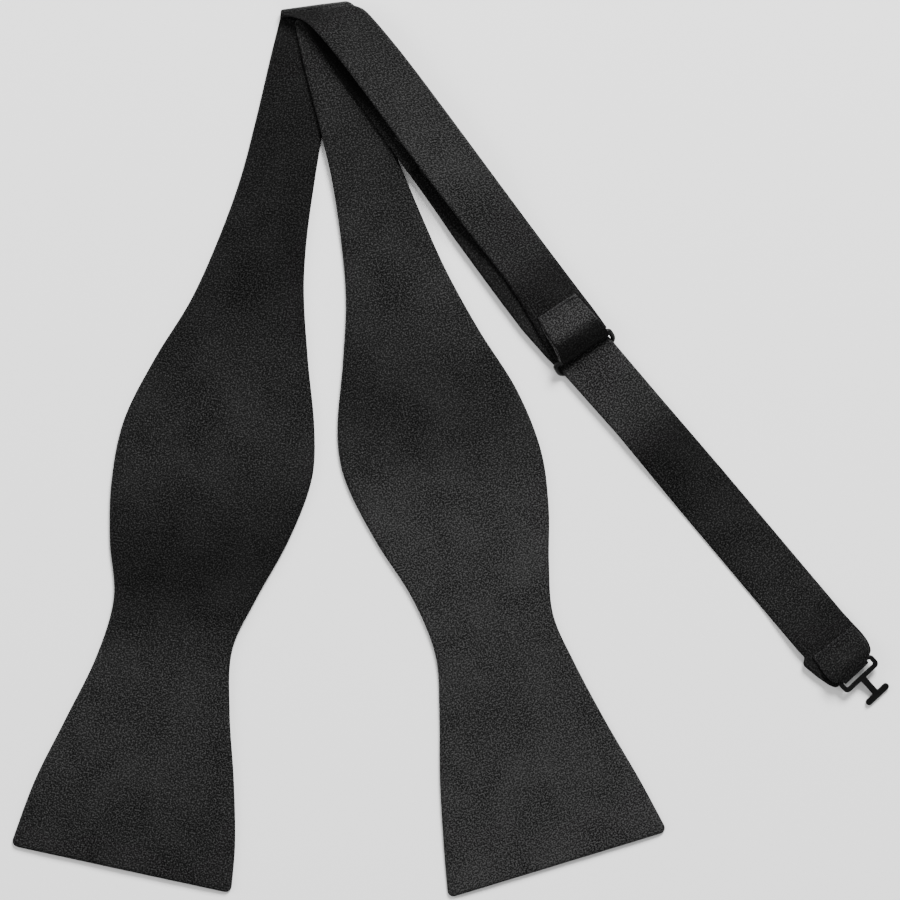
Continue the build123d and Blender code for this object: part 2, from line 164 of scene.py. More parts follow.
def polyesterSatin():
    # polyester duchess satin, woven with long floats and dyed black: a soft, silky sheen, a fine sparkle
    # where
    #  floats catch the light, painted into the colour as glints, and faint cloudy patches left by the iron
    material, tree = newMaterial("black_polyester_satin")
    coords = addNode(tree, "ShaderNodeUVMap", {"uv_map": "weave"})
    inMm = addNode(tree, "ShaderNodeMapping", {"Scale": (1000, 1000, 1000)}, {"Vector": coords.outputs[0]})
    stretched = addNode(tree, "ShaderNodeMapping", {"Scale": (1, 0.45, 1)}, {"Vector": inMm.outputs[0]})
    grain = addNode(tree, "ShaderNodeTexNoise", {
        "Scale": 1 / satin["grain"], "Detail": 2.0, "Roughness": 0.7,
    }, {"Vector": inMm.outputs[0]})
    slub = addNode(tree, "ShaderNodeTexNoise", {
        "Scale": 1 / satin["slub"], "Detail": 3.0, "Roughness": 0.6,
    }, {"Vector": stretched.outputs[0]})
    mottle = addNode(tree, "ShaderNodeTexNoise", {
        "Scale": 1 / satin["mottle"], "Detail": 4.0, "Roughness": 0.6, "Distortion": 0.4,
    }, {"Vector": inMm.outputs[0]})
    rows = addNode(tree, "ShaderNodeTexWave", {
        "bands_direction": "DIAGONAL", "Scale": waveScale / satin["rowPitch"],
        "Distortion": 1.2, "Detail": 2.0, "Detail Scale": 0.6,
    }, {"Vector": inMm.outputs[0]})
    # painted glints: the grain noise is also painted into the base colour as bright floats
    grainAndPaintedGlints = addNode(tree, "ShaderNodeMapRange", {
        "From Min": 0.48, "From Max": 0.7, "To Min": 0.0, "To Max": 1.4,
    }, {"Value": grain.outputs["Fac"]})
    cloudy = addNode(tree, "ShaderNodeMapRange", {
        "From Min": 0.3, "From Max": 0.7, "To Min": 0.05, "To Max": 0.2,
    }, {"Value": mottle.outputs["Fac"]})
    speckled = addNode(tree, "ShaderNodeMath", {"operation": "ADD"},
                       {0: grainAndPaintedGlints.outputs[0], 1: cloudy.outputs[0]})
    # painted light: this attribute scales the colour, painting sheen and shade onto each piece
    lie = addNode(tree, "ShaderNodeAttribute", {"attribute_name": "lie"})
    tone = addNode(tree, "ShaderNodeMath", {"operation": "MULTIPLY"},
                   {0: speckled.outputs[0], 1: lie.outputs["Fac"]})
    colour = addNode(tree, "ShaderNodeMix", {
        "data_type": "RGBA", 6: linear(satin["dark"]), 7: linear(satin["light"]),
    }, {0: tone.outputs[0]})
    roughness = addNode(tree, "ShaderNodeMapRange", {
        "From Min": 0.3, "From Max": 0.7,
        "To Min": satin["roughness"] - 0.06, "To Max": satin["roughness"] + 0.1,
    }, {"Value": mottle.outputs["Fac"]})
    threads = addNode(tree, "ShaderNodeMath", {"operation": "MULTIPLY_ADD", 1: satin["slubHeight"]},
                      {0: slub.outputs["Fac"], 2: grain.outputs["Fac"]})
    height = addNode(tree, "ShaderNodeMath", {"operation": "MULTIPLY_ADD", 1: satin["rowHeight"]},
                     {0: rows.outputs["Fac"], 2: threads.outputs[0]})
    bump = addNode(tree, "ShaderNodeBump", {"Strength": 1.0, "Distance": satin["bump"] * mm},
                   {"Height": height.outputs[0]})
    surface(tree, addNode(tree, "ShaderNodeBsdfPrincipled", {
        "Specular IOR Level": satin["glint"],
        "Anisotropic": 0.35,
        "Sheen Weight": 0.015,
        "Sheen Roughness": 0.45,
        "Sheen Tint": linear("#bdbdbd"),
    }, {
        "Base Color": colour.outputs[2],
        "Roughness": roughness.outputs[0],
        "Normal": bump.outputs[0],
    }))
    return material


canvas = {
    "warp": "#c9c3b4",
    "weft": "#aaa393",
    "pitch": 0.8,           # mm between threads
    "bump": 0.1,            # mm
}


def wovenCanvas():
    # cotton interlining canvas, plain woven and unbleached: matt, with an open square weave
    material, tree = newMaterial("cotton_canvas")
    coords = addNode(tree, "ShaderNodeUVMap", {"uv_map": "weave"})
    inMm = addNode(tree, "ShaderNodeMapping", {"Scale": (1000, 1000, 1000)}, {"Vector": coords.outputs[0]})
    ends, picks = [addNode(tree, "ShaderNodeTexWave", {
        "bands_direction": direction, "Scale": waveScale / canvas["pitch"], "Distortion": 0.6,
    }, {"Vector": inMm.outputs[0]}) for direction in ("X", "Y")]
    crossed = addNode(tree, "ShaderNodeMath", {"operation": "MULTIPLY"},
                      {0: ends.outputs["Fac"], 1: picks.outputs["Fac"]})
    colour = addNode(tree, "ShaderNodeMix", {
        "data_type": "RGBA", 6: linear(canvas["weft"]), 7: linear(canvas["warp"]),
    }, {0: crossed.outputs[0]})
    bump = addNode(tree, "ShaderNodeBump", {"Strength": 0.8, "Distance": canvas["bump"] * mm},
                   {"Height": crossed.outputs[0]})
    surface(tree, addNode(tree, "ShaderNodeBsdfPrincipled", {
        "Roughness": 0.92, "Specular IOR Level": 0.25,
    }, {"Base Color": colour.outputs[2], "Normal": bump.outputs[0]}))
    return material


thread = {
    "dark": "#030303",
    "light": "#0e0e10",
    "ply": 0.3,             # mm between the turns of its twist
    "slant": 24,            # degrees
    "bump": 0.04,           # mm
}


def spunThread():
    # spun polyester sewing thread, dyed black and twisted: a fine slanted ply with a dull shine
    material, tree = newMaterial("spun_polyester_thread")
    coords = addNode(tree, "ShaderNodeTexCoord")
    turned = addNode(tree, "ShaderNodeMapping", {
        "Rotation": (0.4, 0.2, math.radians(thread["slant"])), "Scale": (1000, 1000, 1000),
    }, {"Vector": coords.outputs["Object"]})
    ply = addNode(tree, "ShaderNodeTexWave", {
        "bands_direction": "DIAGONAL", "Scale": waveScale / thread["ply"], "Distortion": 0.8,
    }, {"Vector": turned.outputs[0]})
    colour = addNode(tree, "ShaderNodeMix", {
        "data_type": "RGBA", 6: linear(thread["dark"]), 7: linear(thread["light"]),
    }, {0: ply.outputs["Fac"]})
    bump = addNode(tree, "ShaderNodeBump", {"Strength": 0.8, "Distance": thread["bump"] * mm},
                   {"Height": ply.outputs["Fac"]})
    surface(tree, addNode(tree, "ShaderNodeBsdfPrincipled", {
        "Roughness": 0.6, "Specular IOR Level": 0.15,
    }, {"Base Color": colour.outputs[2], "Normal": bump.outputs[0]}))
    return material


enamel = {
    "coat": "#030303",
    "wear": "#141415",
    "dimple": 0.9,          # mm between the dips of the coat
    "bump": 0.05,           # mm
}


def enamelledSteel():
    # mild steel, stamped or bent and dipped in black baking enamel: satin black, slightly uneven, thinner and
    # greyer where it rubs
    material, tree = newMaterial("black_enamelled_steel")
    coords = addNode(tree, "ShaderNodeTexCoord")
    inMm = addNode(tree, "ShaderNodeMapping", {"Scale": (1000, 1000, 1000)},
                   {"Vector": coords.outputs["Object"]})
    dips = addNode(tree, "ShaderNodeTexNoise", {"Scale": 1 / enamel["dimple"], "Detail": 3.0},
                   {"Vector": inMm.outputs[0]})
    rubbed = addNode(tree, "ShaderNodeTexNoise", {"Scale": 0.35, "Detail": 5.0, "Roughness": 0.7},
                     {"Vector": inMm.outputs[0]})
    worn = addNode(tree, "ShaderNodeMapRange", {
        "From Min": 0.56, "From Max": 0.74, "To Min": 0.0, "To Max": 0.6,
    }, {"Value": rubbed.outputs["Fac"]})
    colour = addNode(tree, "ShaderNodeMix", {
        "data_type": "RGBA", 6: linear(enamel["coat"]), 7: linear(enamel["wear"]),
    }, {0: worn.outputs[0]})
    roughness = addNode(tree, "ShaderNodeMapRange", {"To Min": 0.36, "To Max": 0.52},
                        {"Value": dips.outputs["Fac"]})
    bump = addNode(tree, "ShaderNodeBump", {"Strength": 0.5, "Distance": enamel["bump"] * mm},
                   {"Height": dips.outputs["Fac"]})
    surface(tree, addNode(tree, "ShaderNodeBsdfPrincipled", {
        "Specular IOR Level": 0.14, "Coat Weight": 0.02, "Coat Roughness": 0.25,
    }, {
        "Base Color": colour.outputs[2],
        "Roughness": roughness.outputs[0],
        "Normal": bump.outputs[0],
    }))
    return material


finishes = {
    "black_satin": polyesterSatin(),
    "interlining": wovenCanvas(),
    "black_thread": spunThread(),
    "black_metal": enamelledSteel(),
}
print("materials done")


# tools for strips of cloth, which are made as rows from edge to edge
strip = {
    "rollShare": 0.2,       # share of the columns that go round a rolled edge
    "rollMost": 0.3,        # an edge's roll is at most this share of the width
    "noEnd": 99.0,          # distance to the end, of a row with no rounded end near it
    "weld": 0.004,
    "slack": 0.9995,        # keeps a rounded area inside its rounded width and length
}


def heading(degrees):
    # the direction of a strap that runs down from +Y, turned towards +X
    return Vector((math.sin(math.radians(degrees)), -math.cos(math.radians(degrees)), 0))


def sideways(degrees):
    return Vector((math.cos(math.radians(degrees)), math.sin(math.radians(degrees)), 0))


def smooth(t):
    t = min(max(t, 0.0), 1.0)
    return t * t * (3 - 2 * t)


def between(stops, at):
    # reads a table of (place, value) stops, in rising order of place, with an easy change from stop to stop
    if at <= stops[0][0]:
        return stops[0][1]
    for (a, low), (b, high) in zip(stops, stops[1:]):
        if at <= b:
            return low + (high - low) * smooth((at - a) / (b - a))
    return stops[-1][1]


def edgeCurve(points):
    # a smooth line through an edge's points, read by the share of its length
    points = [Vector((*p[:2], 0)) for p in points]
    run = [0.0]
    for a, b in zip(points, points[1:]):
        run.append(run[-1] + (b - a).length)
    last = len(points) - 1
    slopes = []
    for i in range(last + 1):
        before, after = max(i - 1, 0), min(i + 1, last)
        slopes.append((points[after] - points[before]) / (run[after] - run[before]))

    def at(share):
        s = min(max(share, 0.0), 1.0) * run[-1]
        i = max(k for k in range(last) if run[k] <= s or k == 0)
        h = run[i + 1] - run[i]
        x = (s - run[i]) / h
        return ((2 * x**3 - 3 * x**2 + 1) * points[i] + (x**3 - 2 * x**2 + x) * h * slopes[i]
                + (3 * x**2 - 2 * x**3) * points[i + 1] + (x**3 - x**2) * h * slopes[i + 1])

    return at, run[-1]


def rounded(distance, roll):
    # how far a ply stands off the middle of its strip, near an edge
    q = min(distance / roll, 1.0)
    return math.sqrt(max(1 - (1 - q) ** 2, 0.0))


def edgesAt(edges, run):
    # the left and right edge of a strip from a table of (run, left, right)
    for (a, leftA, rightA), (b, leftB, rightB) in zip(edges, edges[1:]):
        if run <= b:
            share = max(run - a, 0.0) / (b - a)
            return leftA + (leftB - leftA) * share, rightA + (rightB - rightA) * share
    return edges[-1][1:]


def row(left, right, half, normal=upward, run=0.0, end=strip["noEnd"]):
    return {"left": left, "right": right, "half": half, "normal": normal, "run": run, "end": end}


def measured(rows):
    # the run of each row, along the middle of the strip
    run = 0.0
    for before, after in zip(rows, rows[1:]):
        a = (before["left"] + before["right"]) / 2
        b = (after["left"] + after["right"]) / 2
        run += (b - a).length
        after["run"] = run
    return rows


# no painted light: the colour is left as it is
def noPaintedLight(place):
    return 1.0


def level(place, fromEdge, r, side):
    return Vector((0, 0, 0))


# all the layers are pressed together where the neck fold turns sharply, at its left corner
press = {"corner": Vector((-53.9, 139.0, 0)), "depth": 0.5, "reach": 14.0}


def pressed(place):
    far = (Vector((place.x, place.y, 0)) - press["corner"]).length
    return 1 - press["depth"] * (1 - smooth(far / press["reach"]))


def addPly(bm, rows, side, columns, roll, relief, inset=0.0, lie=noPaintedLight):
    # a grid laid over the rows. side is 1 for the ply that the rows' normals point out of, -1 for the other
    rollShare = strip["rollShare"]
    weave = bm.loops.layers.uv.get("weave") or bm.loops.layers.uv.new("weave")
    # painted light: each vertex keeps the factor that paints sheen and shade into the satin's colour
    shade = bm.verts.layers.float.get("lie") or bm.verts.layers.float.new("lie")
    made = bmesh.ops.create_grid(bm, x_segments=columns, y_segments=len(rows) - 1, size=1)["verts"]
    flat = {}
    for vert in made:
        u, r = vert.co.x, rows[round((1 - vert.co.y) / 2 * (len(rows) - 1))]
        width = (r["right"] - r["left"]).length - 2 * inset
        rim = min(roll, width * strip["rollMost"])
        if abs(u) > 1 - rollShare:
            fromEdge = rim * (1 - math.cos((1 - abs(u)) / rollShare * math.pi / 2))
        else:
            fromEdge = rim + (width / 2 - rim) * (1 - abs(u) / (1 - rollShare))
        across = (r["right"] - r["left"]).normalized()
        offset = inset + (fromEdge if u < 0 else width - fromEdge)
        stand = r["half"] * rounded(fromEdge, rim) * rounded(r["end"], rim)
        place = r["left"] + across * offset
        vert.co = place + r["normal"] * stand * side + relief(place, fromEdge, r, side)
        vert.co.z *= pressed(vert.co)
        vert[shade] = lie(vert.co)
        flat[vert] = ((offset - width / 2) * mm, r["run"] * mm)
    faces = {f for v in made for f in v.link_faces}
    for face in faces:
        face.smooth = True
        for loop in face.loops:
            loop[weave].uv = flat[loop.vert]
    middle = min(faces, key=lambda f: (f.calc_center_median() - rowMiddle(rows)).length)
    middle.normal_update()
    if middle.normal.dot(rows[len(rows) // 2]["normal"]) * side < 0:
        bmesh.ops.reverse_faces(bm, faces=list(faces))


def rowMiddle(rows):
    middle = rows[len(rows) // 2]
    return (middle["left"] + middle["right"]) / 2


def finishPiece(name, bm, slotName):
    bmesh.ops.scale(bm, vec=(mm, mm, mm), verts=bm.verts)
    mesh = bpy.data.meshes.new(name)
    bm.to_mesh(mesh)
    bm.free()
    mesh.materials.append(finishes[slotName])
    piece = bpy.data.objects.new(name, mesh)
    bpy.context.scene.collection.objects.link(piece)
    return piece


def plyPiece(name, rows, side, cloth, relief, slotName="black_satin", inset=0.0, lie=noPaintedLight):
    bm = bmesh.new()
    addPly(bm, rows, side, cloth["columns"], cloth["roll"], relief, inset, lie)
    piece = finishPiece(name, bm, slotName)
    thicken = piece.modifiers.new("ply", "SOLIDIFY")
    thicken.thickness = cloth["ply"] * mm
    thicken.offset = -1
    return piece


def closedStrip(name, rows, cloth, relief, lie=noPaintedLight):
    # a turned-back end, with both plies in one closed piece
    bm = bmesh.new()
    for side in (1, -1):
        addPly(bm, rows, side, cloth["columns"], cloth["roll"], relief, 0.0, lie)
    bmesh.ops.remove_doubles(bm, verts=bm.verts, dist=strip["weld"])
    return finishPiece(name, bm, "black_satin")


def ripple(place, size, seed):
    # a soft swell between -1 and 1, that is the same for the same seed
    return noise.noise(Vector((place.x / size, place.y / size, seed)))


blade = {
    "thick": 1.4,
    "neckThick": 1.0,       # pressed thinner at the fold
    "neckRun": 14.0,        # and thickening over this length
    "bareNeck": 14.0,       # the interlining stops short of the fold
    "coreSunk": 0.42,       # how far the interlining lies under the blade's face
    "coreHem": 1.2,         # and how far inside its end, and then its edges
    "coreInset": 1.4,
    "roll": 1.3,            # width of the rounded edge
    "ply": 0.2,
    "columns": 60,
    "rowStep": 2.0,
    "endRows": [0, 0.06, 0.16, 0.32, 0.54, 0.82, 1.15, 1.55, 2.0, 2.6, 3.4, 4.6],   # from the end
    "cornerRadius": 2.4,
    "crown": 0.35,          # how far the face swells between its edges
    "crownRun": 5.0,        # how far from an edge it takes to do so
    "swell": 0.7,           # height and length of the long soft waves
    "swellSize": 46.0,
    "ruck": 0.12,           # height and length of the short ones
    "ruckSize": 9.0,
    "calmRun": 30.0,        # both die away over this length
}
plainCloth = {"columns": 40, "roll": 0.9, "ply": 0.2}
canvasCloth = {"columns": 20, "roll": 0.3, "ply": 0.5}

leftOuter = [
    (-54.3, 138.3), (-55.0, 135.5), (-57.6, 124.8), (-62.1, 105.6), (-67.2, 86.4), (-74.2, 67.2),
    (-82.9, 48.0), (-94.7, 28.8), (-104.3, 9.6), (-108.2, -9.6), (-108.8, -28.8), (-107.5, -47.0),
    (-112.9, -65.5), (-123.2, -86.4), (-132.8, -105.6), (-140.6, -126.5),
]
leftInner = [
    (-35.2, 140.9), (-37.4, 124.8), (-41.0, 100.2), (-43.2, 86.4), (-45.8, 67.2), (-46.7, 50.6),
    (-45.4, 28.8), (-43.3, 6.0), (-44.2, -9.6), (-51.5, -28.8), (-62.1, -48.0), (-69.6, -64.0),
    (-70.4, -84.0), (-69.1, -105.6), (-68.7, -126.0), (-70.0, -141.8),
]
rightInner = [
    (-49.6, 136.5), (-47.4, 125.8), (-44.6, 114.6), (-41.0, 100.2), (-37.8, 86.4), (-34.9, 67.2),
    (-33.3, 48.0), (-34.2, 28.8), (-36.0, 5.0), (-33.6, -9.6), (-24.0, -28.8), (-11.8, -48.0),
    (-4.6, -66.0), (-3.4, -84.0), (-3.2, -105.6), (-1.9, -128.0), (-0.6, -143.4),
]
rightOuter = [
    (-32.0, 139.1), (-29.4, 128.0), (-25.6, 113.6), (-20.8, 102.4), (-16.0, 91.2), (-9.9, 76.8),
    (-1.3, 57.6), (9.3, 38.4), (21.4, 19.2), (29.1, 0.0), (31.6, -18.0), (31.7, -36.0),
    (33.0, -52.5), (39.4, -67.2), (49.6, -86.4), (60.8, -105.6), (69.6, -122.0),
]


def bladeRows(leftPoints, rightPoints, lift):
    # rows from the neck to the blade's end, closer together round the corners
    leftAt, leftLength = edgeCurve(leftPoints)
    rightAt, rightLength = edgeCurve(rightPoints)
    length = (leftLength + rightLength) / 2
    fromEnd = list(blade["endRows"])
    while fromEnd[-1] < length - blade["rowStep"] * 1.5:
        fromEnd.append(fromEnd[-1] + blade["rowStep"])
    rows = []
    for end in reversed(fromEnd + [length]):
        left, right = leftAt(1 - end / length), rightAt(1 - end / length)
        short = max(blade["cornerRadius"] - end, 0.0)
        corner = blade["cornerRadius"] - math.sqrt(blade["cornerRadius"] ** 2 - short**2)
        across = (right - left).normalized()
        left, right = left + across * corner, right - across * corner
        neck = smooth((length - end) / blade["neckRun"])
        half = (blade["neckThick"] + (blade["thick"] - blade["neckThick"]) * neck) / 2
        left.z = lift(left) + half
        right.z = lift(right) + half
        rows.append(row(left, right, half, end=end))
    return measured(rows)


def bladeRelief(seed, calmAbove, creases):
    def relief(place, fromEdge, r, side):
        free = smooth((calmAbove - place.y) / blade["calmRun"])
        wave = 0.5 + 0.5 * ripple(place, blade["swellSize"], seed)
        z = blade["swell"] * free * wave * smooth(r["end"] / blade["calmRun"])
        if side > 0:
            inside = 1 - math.exp(-fromEdge / blade["crownRun"])
            z += blade["crown"] * free * inside
            z += blade["ruck"] * free * inside * ripple(place, blade["ruckSize"], seed + 3)
            for x, y, length, width, turn, depth in creases:
                d = heading(turn)
                offset = Vector((place.x - x, place.y - y, 0))
                beside = offset.dot(sideways(turn)) / width
                behind = offset.dot(d) / length
                z -= depth * math.exp(-beside**2 - behind**4) * inside
        return Vector((0, 0, z))
    return relief


# each crease is a shallow valley: middle x and y, half length, half width, direction, depth
leftCreases = [(-53.0, 92.0, 34, 2.6, -6, 0.32), (-58.5, 110.0, 20, 3.5, -12, 0.15)]
rightCreases = [(-33.0, 96.0, 26, 3.0, 12, 0.12)]


def bladeSet(name, nodes, leftPoints, rightPoints, lift, seed, calmAbove, creases, lie):
    rows = bladeRows(leftPoints, rightPoints, lift)
    relief = bladeRelief(seed, calmAbove, creases)
    face = plyPiece(name + "Face", rows, 1, blade, relief, lie=lie)
    back = plyPiece(name + "Back", rows, -1, blade, relief)
    neck = rows[0]["end"] - blade["bareNeck"]
    coreRows = [{**r, "half": r["half"] - blade["coreSunk"]}
                for r in rows if blade["coreHem"] < r["end"] < neck]
    core = plyPiece(name + "Interlining", coreRows, 1, canvasCloth, relief, "interlining", blade["coreInset"])
    for piece, node in ((face, nodes + "_face"), (back, nodes + "_back"), (core, nodes + "_interlining")):
        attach(piece, "blades")
        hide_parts(node)


# the right blade's neck lies on the left one's, and comes down to the table past it
bladeDrop = {"high": 1.7, "from": 102.0, "to": 56.0}


def rightLift(place):
    return bladeDrop["high"] * smooth((place.y - bladeDrop["to"]) / (bladeDrop["from"] - bladeDrop["to"]))


def tableLift(place):
    return 0.0


# lie is a factor painted into the satin's colour, for sheen and shade: painted shade where cloth turns
#  over a bar or sits under another layer, painted sheen where it is lighter, different from piece to piece.
#  It is set by y on the blades and the right band, by the run along the other straps, and by the distance
#  back from its bar on a turned-back end
lies = {
    "leftBlade": [(-140, 0.76), (-75, 0.84), (-40, 0.42), (0, 0.66), (60, 0.42), (130, 0.38)],
    "rightBlade": [(-140, 1.32), (-75, 1.1), (-30, 1.25), (15, 0.58), (60, 0.85), (110, 0.68)],
    "leftBand": [(-4, 0.5), (6, 0.75), (30, 0.95), (70, 1.25), (95, 0.8), (112, 0.36)],
    "rightBand": [(104, 0.4), (114, 0.1)],
    "endStrap": [(-60, 0.4), (-24, 0.5), (-12, 1.2), (2, 1.0), (22, 0.36), (45, 0.5), (80, 0.62),
                 (101, 0.42)],
    "slideLoop": [(0.5, 0.15), (3.5, 0.2), (8, 1.1), (16, 1.2)],
    "hookLoop": [(0, 0.35), (6, 0.5), (12, 0.68)],
}
drift = {"amount": 0.15, "size": 60.0}      # its slow change over a blade


# painted sheen and shade on the left blade, set by y
def leftBladePaintedLight(place):
    return between(lies["leftBlade"], place.y) + drift["amount"] * ripple(place, drift["size"], 11.0)


# painted sheen and shade on the right blade, set by y
def rightBladePaintedLight(place):
    return between(lies["rightBlade"], place.y) + drift["amount"] * ripple(place, drift["size"], 13.0)


bladeSet("leftBlade", "left_blade", leftOuter, leftInner, tableLift, seed=2.3, calmAbove=98,
         creases=leftCreases, lie=leftBladePaintedLight)
bladeSet("rightBlade", "right_blade", rightInner, rightOuter, rightLift, seed=7.1, calmAbove=92,
         creases=rightCreases, lie=rightBladePaintedLight)
print("blades done")


# the neck fold: each band starts with a bend of cloth here
crease = {
    "left": Vector((-53.6, 136.0, 0)),
    "right": Vector((-29.6, 139.6, 0)),
    "bendRows": 14,
    "bareRows": 14,         # rows next to the bend with no interlining
    "coreSunk": 0.3,        # how far the interlining lies under the band's face, and then inside its edges
    "coreInset": 1.2,
    "corePly": 0.35,
}
creaseLine = (crease["right"] - crease["left"]).normalized()
beyond = Vector((-creaseLine.y, creaseLine.x, 0))

leftBand = {
    "thick": 1.0,
    "high": 6.8,            # underside over the other layers
    "low": 2.7,             # underside at the slide
    "axis": (-41.6, 137.8),
    "turn": 37.0,
    "fall": 62.0,           # runs along the band where the drop starts and ends
    "land": 102.0,
    "bendReach": 1.6,       # half the bend's depth, its height and the height of its middle
    "bendRadius": 3.4,
    "bendHeight": 3.9,
    "from": [(-54.3, 138.3), (-35.2, 140.9)],
    "left": [(-53.5, 139.0), (-49.1, 137.8), (-46.8, 136.9), (-44.5, 135.2), (-40.6, 130.9), (-36.7, 126.2),
             (-31.5, 119.5), (-25.0, 110.8), (-10.6, 91.2), (8.2, 66.6), (16.6, 55.9), (22.2, 47.5),
             (26.4, 40.5), (30.0, 34.3), (34.0, 28.4)],
    "right": [(-30.4, 141.6), (-28.3, 140.9), (-26.4, 139.5), (-23.3, 136.1), (-21.8, 134.4),
              (-15.1, 126.2), (-6.7, 115.2), (14.7, 86.4), (29.1, 67.2), (41.7, 50.5), (46.0, 44.9),
              (50.1, 39.2)],
    "rows": 90,
    "swell": 0.12,
    "flatFrom": 112.0,      # flat again from this run, under the turned-back end
    "blend": (1.0, 6.8, 0.06),      # heights of a line across the fold, and its lean
}
rightBand = {
    "thick": 0.9,
    "high": 3.4,
    "bendReach": 0.85,
    "bendRadius": 0.85,
    "bendHeight": 3.0,
    "from": [(-49.6, 136.5), (-32.0, 139.1)],
    "axis": (-13.5, 105.5),
    "turn": 37.0,
    "width": 17.4,
    "spread": 1.5,          # wider to the left at the eye
    "starts": (-45.4, -35.9),
    "end": 14.0,
    "rows": 34,
    "swell": 0.05,
    "flatFrom": 38.0,
    "blend": (2.3, 3.4, 0.2),
}
bandSwell = {"edgeRun": 3.0, "fade": 8.0, "even": 0.7, "uneven": 0.5, "size": 13.0}


def bendRows(band, topLeft, topRight):
    # half a turn of cloth from the blade's neck up to the band
    low = [Vector((*p, 0)) for p in band["from"]]
    rows = []
    for i in range(crease["bendRows"]):
        share = i / crease["bendRows"]
        turn = math.radians(-90 + 180 * share)
        reach, rise = band["bendReach"], band["bendRadius"]
        normal = beyond * math.cos(turn) / reach + upward * math.sin(turn) / rise
        shift = beyond * reach * math.cos(turn) + upward * (band["bendHeight"] + rise * math.sin(turn))
        rows.append(row(low[0].lerp(topLeft, share) + shift, low[1].lerp(topRight, share) + shift,
                        band["thick"] / 2, normal.normalized()))
    return rows


def leftBandHeight(place):
    run = (Vector((place.x, place.y, 0)) - Vector((*leftBand["axis"], 0))).dot(heading(leftBand["turn"]))
    drop = smooth((run - leftBand["fall"]) / (leftBand["land"] - leftBand["fall"]))
    return leftBand["high"] + (leftBand["low"] - leftBand["high"]) * drop + leftBand["thick"] / 2


def leftBandRows():
    leftAt, rightAt = edgeCurve(leftBand["left"])[0], edgeCurve(leftBand["right"])[0]
    rows = bendRows(leftBand, leftAt(0), rightAt(0))
    for i in range(leftBand["rows"] + 1):
        left, right = leftAt(i / leftBand["rows"]), rightAt(i / leftBand["rows"])
        left.z, right.z = leftBandHeight(left), leftBandHeight(right)
        rows.append(row(left, right, leftBand["thick"] / 2))
    return measured(rows)


def rightBandRows():
    along, across = heading(rightBand["turn"]), sideways(rightBand["turn"])
    axis = Vector((*rightBand["axis"], 0))
    halfWidth = rightBand["width"] / 2
    left = [axis + along * run - across * halfWidth for run in (rightBand["starts"][0], rightBand["end"])]
    right = [axis + along * run + across * halfWidth for run in (rightBand["starts"][1], rightBand["end"])]
    left[1] -= across * rightBand["spread"]
    rows = bendRows(rightBand, left[0], right[0])
    raised = upward * (rightBand["high"] + rightBand["thick"] / 2)
    for i in range(rightBand["rows"] + 1):
        share = i / rightBand["rows"]
        rows.append(row(left[0].lerp(left[1], share) + raised, right[0].lerp(right[1], share) + raised,
                        rightBand["thick"] / 2))
    return measured(rows)


def bandRelief(band, seed):
    # the face swells a little, past the bend
    def relief(place, fromEdge, r, side):
        if r["normal"].z < 0.99 or side < 0:
            return Vector((0, 0, 0))
        inside = 1 - math.exp(-fromEdge / bandSwell["edgeRun"])
        inside *= 1 - smooth((r["run"] - band["flatFrom"]) / bandSwell["fade"])
        wave = bandSwell["even"] + bandSwell["uneven"] * ripple(place, bandSwell["size"], seed)
        return upward * band["swell"] * inside * wave
    return relief


# painted sheen and shade along the left band: darker at the neck bend and above the slide loop
def leftBandPaintedLight(place):
    run = (Vector((place.x, place.y, 0)) - Vector((*leftBand["axis"], 0))).dot(heading(leftBand["turn"]))
    return between(lies["leftBand"], run)


# painted shadow: the right band is darkened where it sits in the shadow of the left band
def rightBandPaintedShadow(place):
    return between(lies["rightBand"], place.y)


def bandSet(name, nodes, fold, body, band, rows, seed, lie):
    relief = bandRelief(band, seed)
    face = plyPiece(name + "Face", rows, 1, plainCloth, relief, lie=lie)
    back = plyPiece(name + "Back", rows, -1, plainCloth, relief)
    straight = rows[crease["bendRows"] + crease["bareRows"]:-1]
    coreRows = [{**r, "half": r["half"] - crease["coreSunk"]} for r in straight]
    core = plyPiece(name + "Interlining", coreRows, 1, {**canvasCloth, "ply": crease["corePly"]}, level,
                    "interlining", crease["coreInset"])
    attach(core, body)
    for piece in (face, back):
        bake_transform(piece)
    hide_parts(nodes + "_face", fold)
    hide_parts(nodes + "_back")
    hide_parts(nodes + "_interlining")


bandSet("leftBand", "left_band", "left_fold", "left_band", leftBand, leftBandRows(), 3.7, leftBandPaintedLight)
bandSet("rightBand", "right_band", "right_fold", "right_band", rightBand, rightBandRows(), 5.2, rightBandPaintedShadow)
print("neck bands done")


